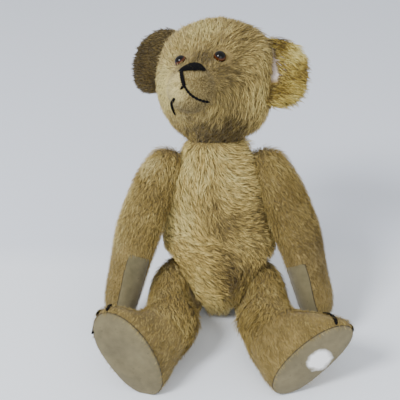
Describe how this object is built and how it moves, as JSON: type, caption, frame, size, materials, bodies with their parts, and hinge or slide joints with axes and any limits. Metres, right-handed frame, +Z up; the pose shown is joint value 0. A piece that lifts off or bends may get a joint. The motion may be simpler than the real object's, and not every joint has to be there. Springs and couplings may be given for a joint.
{
  "type": "threadbare teddy bear",
  "caption": "Sitting antique teddy bear in worn gold mohair, with felt paws, glass eyes and a stitched nose; the head, arms and legs turn on card disc joints.",
  "frame": {"origin": "middle of the flat under the bear's seat, on the surface it sits on", "axes": "+Z up, -Y the way the bear's body looks, +X the bear's own left"},
  "size_m": [0.2619, 0.2666, 0.3325],
  "materials": {
    "mohair": "worn gold mohair pile on a woven cotton backing",
    "ear_mohair": "longer, less worn gold mohair pile",
    "wood_wool": "fine wood shavings packed hard",
    "felt": "thin greyed wool felt, rubbed and spotted",
    "eye_glass": "polished amber glass with a black pupil",
    "black_thread": "twisted black embroidery thread",
    "card": "grey millboard",
    "steel": "dull steel wire and washers"
  },
  "bodies": {
    "torso": {"left_hip_split_pin": "steel", "left_hip_torso_disc": "card", "left_hip_torso_washer": "steel", "left_shoulder_split_pin": "steel", "left_shoulder_torso_disc": "card", "left_shoulder_torso_washer": "steel", "neck_split_pin": "steel", "neck_torso_disc": "card", "neck_torso_washer": "steel", "right_hip_split_pin": "steel", "right_hip_torso_disc": "card", "right_hip_torso_washer": "steel", "right_shoulder_split_pin": "steel", "right_shoulder_torso_disc": "card", "right_shoulder_torso_washer": "steel", "torso_cover": "mohair", "torso_stuffing": "wood_wool"},
    "head": {"head_cover": "mohair", "head_stuffing": "wood_wool", "left_ear": "ear_mohair", "left_eye": "eye_glass", "left_eye_shank": "steel", "left_mouth_stitch": "black_thread", "neck_limb_disc": "card", "neck_limb_washer": "steel", "nose_stitching": "black_thread", "nose_to_mouth_stitch": "black_thread", "right_ear": "ear_mohair", "right_eye": "eye_glass", "right_eye_shank": "steel", "right_mouth_corner_stitch": "black_thread", "right_mouth_stitch": "black_thread"},
    "left_arm": {"left_arm_cover": "mohair", "left_arm_stuffing": "wood_wool", "left_paw_pad": "felt", "left_shoulder_limb_disc": "card", "left_shoulder_limb_washer": "steel"},
    "right_arm": {"right_arm_cover": "mohair", "right_arm_stuffing": "wood_wool", "right_paw_pad": "felt", "right_shoulder_limb_disc": "card", "right_shoulder_limb_washer": "steel"},
    "left_leg": {"left_claw_stitch_1": "black_thread", "left_claw_stitch_2": "black_thread", "left_hip_limb_disc": "card", "left_hip_limb_washer": "steel", "left_leg_cover": "mohair", "left_leg_stuffing": "wood_wool", "left_sole_pad": "felt"},
    "right_leg": {"right_claw_stitch_1": "black_thread", "right_claw_stitch_2": "black_thread", "right_claw_stitch_3": "black_thread", "right_hip_limb_disc": "card", "right_hip_limb_washer": "steel", "right_leg_cover": "mohair", "right_leg_stuffing": "wood_wool", "right_sole_pad": "felt"}
  },
  "joints": [
    {"name": "neck", "type": "hinge", "parent": "torso", "child": "head", "pos_m": [-0.005, 0.00646, 0.20794], "axis": [0, 0.309, 0.9511], "continuous": true},
    {"name": "left_shoulder", "type": "hinge", "parent": "torso", "child": "left_arm", "pos_m": [0.0435, -0.001, 0.163], "axis": [0.9335, -0.0176, 0.3582], "range_deg": [-6, 125]},
    {"name": "right_shoulder", "type": "hinge", "parent": "torso", "child": "right_arm", "pos_m": [-0.0485, -0.001, 0.163], "axis": [-0.9402, -0.0276, 0.3394], "range_deg": [-125, 6]},
    {"name": "left_hip", "type": "hinge", "parent": "torso", "child": "left_leg", "pos_m": [0.022, -0.03, 0.042], "axis": [0.8879, 0.2681, -0.374], "range_deg": [-6, 75]},
    {"name": "right_hip", "type": "hinge", "parent": "torso", "child": "right_leg", "pos_m": [-0.0235, -0.03, 0.042], "axis": [-0.8886, 0.265, -0.3744], "range_deg": [-75, 6]}
  ]
}
